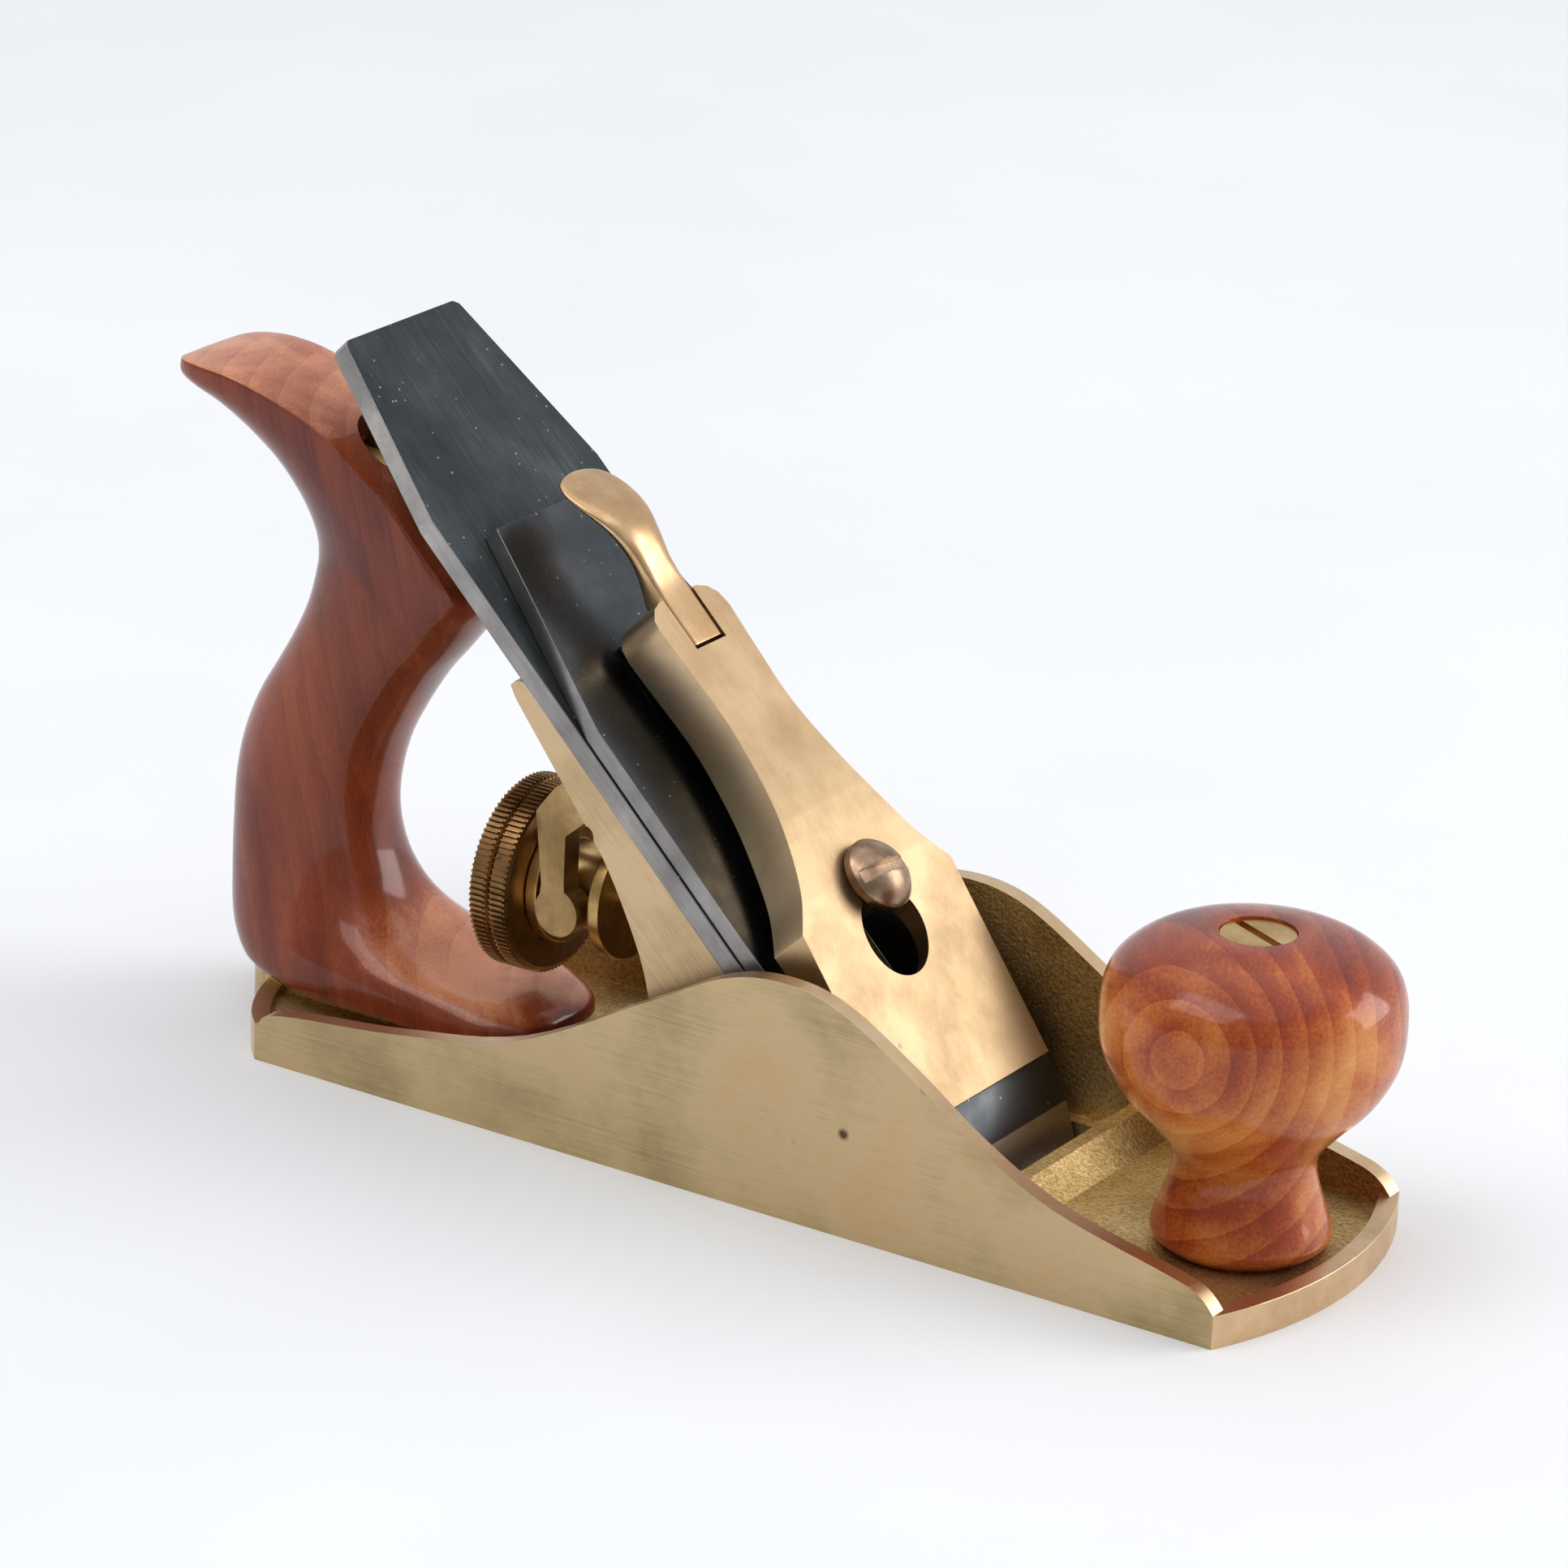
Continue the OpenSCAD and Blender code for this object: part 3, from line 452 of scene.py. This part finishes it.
# Each row: how far up the bed, its top and underside off the bed, half its
# width, and how square its section is, in millimetres.
BED_FOOT_X = 24.5
LEVER_ROWS = [
    (67.4, 12.7, 9.4, 2.55, 14), (67.6, 12.72, 9.3, 2.6, 14), (70.0, 12.75, 9.2, 2.6, 14),
    (73.6, 12.78, 9.6, 2.6, 14), (75.6, 12.9, 10.3, 2.6, 8), (77.6, 13.25, 11.0, 2.7, 4),
    (79.6, 13.7, 11.5, 3.0, 3), (81.6, 13.95, 11.8, 3.5, 2.6), (83.6, 13.9, 11.85, 4.1, 2.5),
    (85.6, 13.4, 11.6, 4.6, 2.5), (87.6, 12.6, 11.1, 4.85, 2.5), (89.4, 11.75, 10.6, 4.7, 2.5),
    (90.8, 11.1, 10.2, 3.9, 2.4), (91.6, 10.65, 10.1, 2.3, 2.2), (91.9, 10.4, 10.2, 0.6, 2)]
COS_BED = math.sqrt(0.5)
AROUND = 40
rings = []
for s, top, low, half_w, square in eased(LEVER_ROWS, 4):
    ring = []
    for i in range(AROUND):
        turn = 2 * math.pi * i / AROUND
        n = (top + low) / 2 + (top - low) / 2 * powered(math.sin(turn), 2 / square)
        y = half_w * powered(math.cos(turn), 2 / square)
        x = BED_FOOT_X + COS_BED * (n - s)
        z = COS_BED * (n + s)
        ring.append((x * MM, y * MM, z * MM))
    rings.append(ring)
cam_lever = lofted("cam_lever_piece", rings)
# The cam is the round end about the pin, as wide as the strap.
CAM_R = 3.4 * MM
STRAP_W = 5.2 * MM
pin_low, pin_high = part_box("cam_pin")
bpy.ops.object.select_all(action="DESELECT")
bpy.ops.mesh.primitive_cylinder_add(vertices=64, radius=CAM_R, depth=STRAP_W,
                                    location=(pin_low + pin_high) / 2, rotation=(math.radians(90), 0, 0))
bpy.ops.object.transform_apply(location=True, rotation=True, scale=True)
cam_lever.select_set(True)
bpy.context.view_layer.objects.active = cam_lever
bpy.ops.object.join()
broken = cam_lever.modifiers.new("edges", "BEVEL")
broken.width = 0.15 * MM
broken.segments = 2
broken.limit_method = "ANGLE"
broken.angle_limit = math.radians(50)
only(cam_lever)
bpy.ops.object.modifier_apply(modifier="edges")
bpy.ops.object.shade_smooth_by_angle(angle=math.radians(40))
# Bronze kept bright by the thumb.
lever_bronze = brushed_metal(
    "lever_bronze", [(0.30, "#b8946c"), (0.5, "#cfa97e"), (0.7, "#dfc097")],
    0.24, "X", 0.2, lines=0.12, patch_mm=5.0, turn_y=math.radians(-45), bump_depth=0.03)
dress(cam_lever, lever_bronze)
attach(cam_lever, "lever")
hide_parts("cam_lever")

# ---------------------------------------------------------------------------
# The adjusting wheel, its hub and the yoke
# Turned brass: the wheel's rim is knurled in two bands. The yoke is a small
# casting that straddles the hub's groove.
# ---------------------------------------------------------------------------

# Brass darkened in the knurl and on the faces, where no hand polishes it.
wheel_brass = brushed_metal(
    "wheel_brass", [(0.30, "#6b5233"), (0.45, "#8f6f48"), (0.6, "#a98256"), (0.75, "#b4845a")],
    0.34, "Y", 0.3, lines=0.1, patch_mm=4.0, specks=300.0, bump_depth=0.05)
# The yoke is a small casting, filed flat on its sides.
yoke_bronze = brushed_metal(
    "yoke_bronze", [(0.30, "#8a6f48"), (0.5, "#a3855a"), (0.7, "#bb9c6c")],
    0.42, "Z", 0.2, lines=0.2, patch_mm=6.0, bump_depth=0.1)
dress(worked_copy("depth_nut", 0.2), turned_brass)
dress(worked_copy("yoke", 0.35), yoke_bronze)

wheel_low, wheel_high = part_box("depth_wheel")
WHEEL_AT = (wheel_low + wheel_high) / 2
WHEEL_R = (wheel_high.z - wheel_low.z) / 2
WHEEL_T = wheel_high.x - wheel_low.x
TEETH = 100
TOOTH_MM = 0.38


def face_ring(piece, keep):
    """Selects the faces that keep() says yes to, in edit mode."""
    bpy.ops.object.mode_set(mode="OBJECT")
    for part in (piece.data.vertices, piece.data.edges, piece.data.polygons):
        part.foreach_set("select", [False] * len(part))
    for face in piece.data.polygons:
        face.select = keep(face)
    bpy.ops.object.mode_set(mode="EDIT")
    bpy.ops.mesh.select_mode(type="FACE")


def knurled_band(name, at_x, width):
    """A turned band whose rim has straight teeth, raised by a knurling tool."""
    bpy.ops.object.select_all(action="DESELECT")
    bpy.ops.mesh.primitive_cylinder_add(
        vertices=2 * TEETH, radius=WHEEL_R - TOOTH_MM * MM, depth=width, end_fill_type="NGON",
        location=(at_x, WHEEL_AT.y, WHEEL_AT.z), rotation=(0.0, math.radians(90), 0.0))
    band = bpy.context.object
    band.name = name
    bpy.ops.object.transform_apply(location=True, rotation=True, scale=True)

    def tooth(face):
        if abs(face.normal.x) > 0.5:
            return False
        turn = math.atan2(face.center.y - WHEEL_AT.y, face.center.z - WHEEL_AT.z)
        return round(turn / math.pi * TEETH - 0.5) % 2 == 0

    face_ring(band, tooth)
    bpy.ops.mesh.inset(thickness=0.09 * MM, depth=TOOTH_MM * MM, use_individual=True)
    face_ring(band, lambda face: abs(face.normal.x) > 0.99 and face.area > 1e-5)
    bpy.ops.mesh.inset(thickness=0.35 * MM, depth=0.2 * MM)
    bpy.ops.object.mode_set(mode="OBJECT")
    return band


rear_band = knurled_band("wheel_rear", wheel_low.x + WHEEL_T * 0.24, WHEEL_T * 0.40)
front_band = knurled_band("wheel_front", wheel_high.x - WHEEL_T * 0.24, WHEEL_T * 0.40)
bpy.ops.object.select_all(action="DESELECT")
bpy.ops.mesh.primitive_cylinder_add(
    vertices=120, radius=WHEEL_R - 0.9 * MM, depth=WHEEL_T * 0.5, end_fill_type="NGON",
    location=WHEEL_AT, rotation=(0.0, math.radians(90), 0.0))
core = bpy.context.object
bpy.ops.object.transform_apply(location=True, rotation=True, scale=True)
# The front face: a dished ring about a boss. The back is plain, with a raised lip.
face_ring(front_band, lambda face: face.normal.x > 0.99 and face.area > 1e-4)
bpy.ops.mesh.inset(thickness=0.8 * MM, depth=0.0)
bpy.ops.mesh.inset(thickness=0.25 * MM, depth=-0.9 * MM)
bpy.ops.mesh.inset(thickness=3.6 * MM, depth=0.0)
bpy.ops.mesh.inset(thickness=0.2 * MM, depth=0.7 * MM)
bpy.ops.object.mode_set(mode="OBJECT")
face_ring(rear_band, lambda face: face.normal.x < -0.99 and face.area > 1e-4)
bpy.ops.mesh.inset(thickness=1.2 * MM, depth=0.0)
bpy.ops.mesh.inset(thickness=0.3 * MM, depth=-0.4 * MM)
bpy.ops.mesh.inset(thickness=4.4 * MM, depth=0.0)
bpy.ops.mesh.inset(thickness=0.3 * MM, depth=0.3 * MM)
bpy.ops.object.mode_set(mode="OBJECT")
bpy.ops.object.select_all(action="DESELECT")
for part in (rear_band, front_band, core):
    part.select_set(True)
bpy.context.view_layer.objects.active = front_band
bpy.ops.object.join()
wheel = front_band
wheel.name = "depth_wheel_piece"
only(wheel)
bpy.ops.mesh.primitive_cylinder_add(
    vertices=48, radius=1.95 * MM, depth=WHEEL_T * 3, location=WHEEL_AT,
    rotation=(0.0, math.radians(90), 0.0))
drill = bpy.context.object
only(wheel)
bore = wheel.modifiers.new("bore", "BOOLEAN")
bore.operation = "DIFFERENCE"
bore.object = drill
bore.solver = "EXACT"
bpy.ops.object.modifier_apply(modifier="bore")
bpy.data.objects.remove(drill)
only(wheel)
bpy.ops.object.shade_smooth_by_angle(angle=math.radians(25))
dress(wheel, wheel_brass)
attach(wheel, "wheel")
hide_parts("depth_wheel")

# ---------------------------------------------------------------------------
# The tote and knob
# American cherry under gloss lacquer. The knob is turned, and the tote is
# shaped by hand.
# ---------------------------------------------------------------------------


def cherry(name, centre, turn_to, ring_mm, tones, ring_share=0.12, warp=2.5, stretch=1.0,
           painted_top_light=0.0):
    """Cherry: growth rings about the tree's axis, fine fibres along it, and a gloss coat over all."""
    material, tree, shader, place = new_material(
        name, Roughness=0.45, Specular_IOR_Level=0.1, Coat_Weight=0.75, Coat_Roughness=0.12, Coat_IOR=1.45)
    moved = add(tree, "ShaderNodeMapping", {"Vector": (place, "Object")}, vector_type="TEXTURE",
                Location=tuple(c * MM for c in centre), Rotation=turn_to, Scale=(1.0, stretch, 1.0))
    ring = add(tree, "ShaderNodeTexWave", {"Vector": (moved, "Vector")}, wave_type="RINGS",
               rings_direction="Z", wave_profile="SAW", Scale=math.pi / (10 * ring_mm * MM),
               Distortion=warp, Detail=3.0, Detail_Scale=0.35, Detail_Roughness=0.6)
    thin = add(tree, "ShaderNodeMapping", {"Vector": (moved, "Vector")}, Scale=(3000.0, 3000.0, 150.0))
    fibre = add(tree, "ShaderNodeTexNoise", {"Vector": (thin, "Vector")}, Scale=1.0, Detail=4.0,
                Roughness=0.65)
    long_way = add(tree, "ShaderNodeMapping", {"Vector": (moved, "Vector")}, Scale=(90.0, 90.0, 22.0))
    patch = add(tree, "ShaderNodeTexNoise", {"Vector": (long_way, "Vector")}, Scale=1.0, Detail=5.0,
                Distortion=0.6)
    rings = add(tree, "ShaderNodeMath", {0: (ring, "Fac")}, operation="MULTIPLY")
    rings.inputs[1].default_value = ring_share
    fibres = add(tree, "ShaderNodeMath", {0: (fibre, "Fac"), 2: (rings, "Value")},
                 operation="MULTIPLY_ADD")
    fibres.inputs[1].default_value = 0.25
    total = add(tree, "ShaderNodeMath", {0: (patch, "Fac"), 2: (fibres, "Value")},
                operation="MULTIPLY_ADD")
    total.inputs[1].default_value = 0.7
    # Painted light and shade: faces that point up are shifted paler, or darker when the setting is below
    # zero, to stand in for the light from above.
    facing = add(tree, "ShaderNodeNewGeometry")
    facing_up = add(tree, "ShaderNodeSeparateXYZ", {"Vector": (facing, "Normal")})
    brightness_by_direction = add(tree, "ShaderNodeMapRange", {"Value": (facing_up, "Z")}, From_Min=0.5, From_Max=0.95,
               To_Max=painted_top_light)
    tone = add(tree, "ShaderNodeMath", {0: (total, "Value"), 1: (brightness_by_direction, "Result")}, operation="ADD")
    colour = add(tree, "ShaderNodeValToRGB", {"Fac": (tone, "Value")}, ramp=tones)
    wire(tree, colour, "Color", shader, "Base Color")
    bump = add(tree, "ShaderNodeBump", {"Height": (fibre, "Fac")}, Strength=0.06, Distance=0.05 * MM)
    wire(tree, bump, "Normal", shader, "Normal")
    return material


# The knob is turned across the grain, so the rings show as a whorl on its front. Its top is painted a
# little darker, as painted shade.
knob_cherry = cherry(
    "knob_cherry", (54.2, -10.8, 28.2), (math.radians(76), 0.0, math.radians(33)), 2.7,
    [(0.30, "#6e200a"), (0.44, "#9c4019"), (0.56, "#c26c2f"), (0.74, "#dc9a56")], ring_share=0.08,
    warp=3.0, stretch=1.15, painted_top_light=-0.1)
# The tote is sawn along the grain, and its crown is painted paler, to salmon, as a painted highlight of
# the light from above.
tote_cherry = cherry(
    "tote_cherry", (-20.0, 14.0, 40.0), (0.0, math.radians(-14), 0.0), 3.4,
    [(0.34, "#5e2014"), (0.50, "#80381f"), (0.64, "#994a2b"), (0.84, "#d08a62")], ring_share=0.05,
    painted_top_light=0.3)
dress(worked_copy("knob", 0.35), knob_cherry)


# Each row: back of the tote (x, z), its front or crown (x, z), half its width,
# how square its section is, and how flat its crown is, in millimetres.
TOTE_ROWS = [
    (-72.6, 5.0, -31.5, 5.0, 11.5, 3.0, 0), (-75.6, 6.2, -32.2, 6.8, 11.5, 3.0, 0),
    (-77.2, 9.0, -37.2, 8.7, 11.2, 2.9, 0), (-78.0, 12.0, -45.0, 10.3, 10.5, 2.7, 0),
    (-78.3, 15.5, -51.9, 12.9, 9.8, 2.5, 0), (-78.4, 19.0, -56.2, 16.7, 9.2, 2.4, 0),
    (-78.3, 23.0, -58.5, 21.5, 8.8, 2.35, 0), (-78.1, 28.0, -58.8, 27.0, 8.5, 2.3, 0),
    (-77.0, 33.0, -57.4, 33.2, 8.5, 2.3, 0), (-75.0, 38.0, -54.8, 38.4, 8.5, 2.3, 0),
    (-72.3, 42.5, -51.5, 43.5, 8.5, 2.3, 0), (-70.0, 46.5, -48.3, 47.3, 8.5, 2.3, 0),
    (-68.2, 50.5, -45.1, 51.3, 8.5, 2.3, 0.1), (-67.2, 54.7, -42.6, 54.6, 8.5, 2.3, 0.35),
    (-67.1, 57.0, -43.1, 57.1, 8.5, 2.3, 0.7), (-67.4, 59.2, -47.8, 61.9, 8.5, 2.3, 1),
    (-68.6, 62.0, -52.4, 66.6, 8.5, 2.3, 1), (-70.2, 64.4, -57.0, 69.9, 8.5, 2.3, 1),
    (-72.2, 66.6, -61.6, 73.1, 8.5, 2.3, 1), (-74.4, 68.5, -66.3, 75.0, 8.5, 2.3, 1),
    (-77.0, 70.4, -70.9, 76.3, 8.5, 2.3, 1), (-79.3, 71.9, -75.6, 77.3, 8.5, 2.3, 1),
    (-81.6, 73.0, -79.8, 77.6, 8.3, 2.3, 1), (-83.8, 73.9, -82.8, 77.5, 7.3, 2.3, 1),
    (-85.0, 74.6, -84.5, 77.2, 5.6, 2.3, 1), (-85.5, 75.1, -85.3, 76.7, 3.6, 2.3, 1),
    (-85.6, 75.7, -85.6, 75.9, 0.8, 2.3, 1)]
HALF = 24
crown_y = [math.sin(math.pi / 2 * i / 14) ** 0.85 for i in range(15)] + [
    1.0, 0.998, 0.99, 0.955, 0.80, 0.62, 0.45, 0.30, 0.15, 0.0]
crown_t = [0.72 * (1 - math.cos(math.pi / 2 * i / 14)) for i in range(15)] + [
    0.82, 0.90, 0.945, 0.965, 0.975, 0.983, 0.989, 0.994, 0.998, 1.0]
points = []
for bx, bz, fx, fz, half_w, square, crown in eased(TOTE_ROWS, 4):
    ring = []
    for i in range(HALF + 1):
        turn = math.pi * i / HALF
        grip_y = max(math.sin(turn), 0.0) ** (2 / square)
        grip_t = 0.5 - 0.5 * math.copysign(abs(math.cos(turn)) ** (2 / square), math.cos(turn))
        y = half_w * (grip_y + crown * (crown_y[i] - grip_y))
        t = grip_t + crown * (crown_t[i] - grip_t)
        ring.append(((bx + t * (fx - bx)) * MM, -y * MM, (bz + t * (fz - bz)) * MM))
    points.append(ring + [(x, -y, z) for x, y, z in ring[HALF - 1:0:-1]])
tote = lofted("tote_piece", points)
# The nut's counterbore, sunk into the crown along the rod.
nut_low, nut_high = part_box("tote_nut")
nut_at = (nut_low + nut_high) / 2
ROD_LEAN = math.atan2(8.0, 70.0)
bpy.ops.object.select_all(action="DESELECT")
rod_up = Vector((math.sin(ROD_LEAN), 0, math.cos(ROD_LEAN)))
bpy.ops.mesh.primitive_cylinder_add(vertices=64, radius=4.4 * MM, depth=12 * MM,
                                    location=nut_at + rod_up * 4.2 * MM, rotation=(0.0, ROD_LEAN, 0.0))
drill = bpy.context.object
only(tote)
sink = tote.modifiers.new("sink", "BOOLEAN")
sink.operation = "DIFFERENCE"
sink.object = drill
sink.solver = "EXACT"
bpy.ops.object.modifier_apply(modifier="sink")
bpy.data.objects.remove(drill)
bpy.ops.object.shade_smooth_by_angle(angle=math.radians(35))
dress(tote, tote_cherry)
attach(tote, "casting")
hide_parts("tote")
dress(worked_copy("knob_nut", 0.12), turned_brass)
dress(worked_copy("tote_nut", 0.12), turned_brass)

# ---------------------------------------------------------------------------
# Floor and light
# A sheet of pale card, a soft box behind on the right, one over the heel's
# side, and a wide weak one for a ceiling, in a white room.
# ---------------------------------------------------------------------------

bpy.ops.object.select_all(action="DESELECT")
bpy.ops.mesh.primitive_plane_add(size=6.0, location=(0, 0, 0))
floor = bpy.context.object
floor.name = "floor"
card, tree, shader, place = new_material("pale_card", Roughness=0.75)
mottle = add(tree, "ShaderNodeTexNoise", {"Vector": (place, "Object")}, Scale=9.0, Detail=4.0)
card_tone = add(tree, "ShaderNodeValToRGB", {"Fac": (mottle, "Fac")},
                ramp=[(0.3, "#eceef1"), (0.7, "#f3f5f7")])
wire(tree, card_tone, "Color", shader, "Base Color")
dress(floor, card)

bpy.context.scene.view_settings.view_transform = "Standard"
world = bpy.data.worlds.new("studio") if not bpy.context.scene.world else bpy.context.scene.world
bpy.context.scene.world = world
world.use_nodes = True
room = world.node_tree
backdrop = room.nodes["Background"]
backdrop.inputs["Color"].default_value = linear("#f6f7fa")
# The room is darker in front, at -Y, than the white sweep behind.
outlook = add(room, "ShaderNodeTexCoord")
apart = add(room, "ShaderNodeSeparateXYZ", {"Vector": (outlook, "Generated")})
brightness_by_direction = add(room, "ShaderNodeMapRange", {"Value": (apart, "Y")}, From_Min=-0.8, From_Max=0.3,
           To_Min=0.36, To_Max=0.80)
room.links.new(brightness_by_direction.outputs["Result"], backdrop.inputs["Strength"])


def soft_box(name, at, size, power, towards=(0.0, 0.0, 0.03)):
    """A white area light of a real soft box's size, in metres, turned towards a point."""
    bpy.ops.object.light_add(type="AREA", location=at)
    light = bpy.context.object
    light.name = name
    light.data.shape = "RECTANGLE"
    light.data.size, light.data.size_y = size
    light.data.energy = power
    light.rotation_euler = (Vector(towards) - Vector(at)).to_track_quat("-Z", "Y").to_euler()


soft_box("key_box", (0.91, 0.82, 0.44), (0.75, 0.8), 8.0)
soft_box("over_box", (-0.23, -0.59, 1.01), (0.9, 0.6), 4.0)
soft_box("ceiling", (-0.1, 0.0, 1.7), (2.2, 2.2), 7.5, towards=(-0.1, 0.0, 0.0))
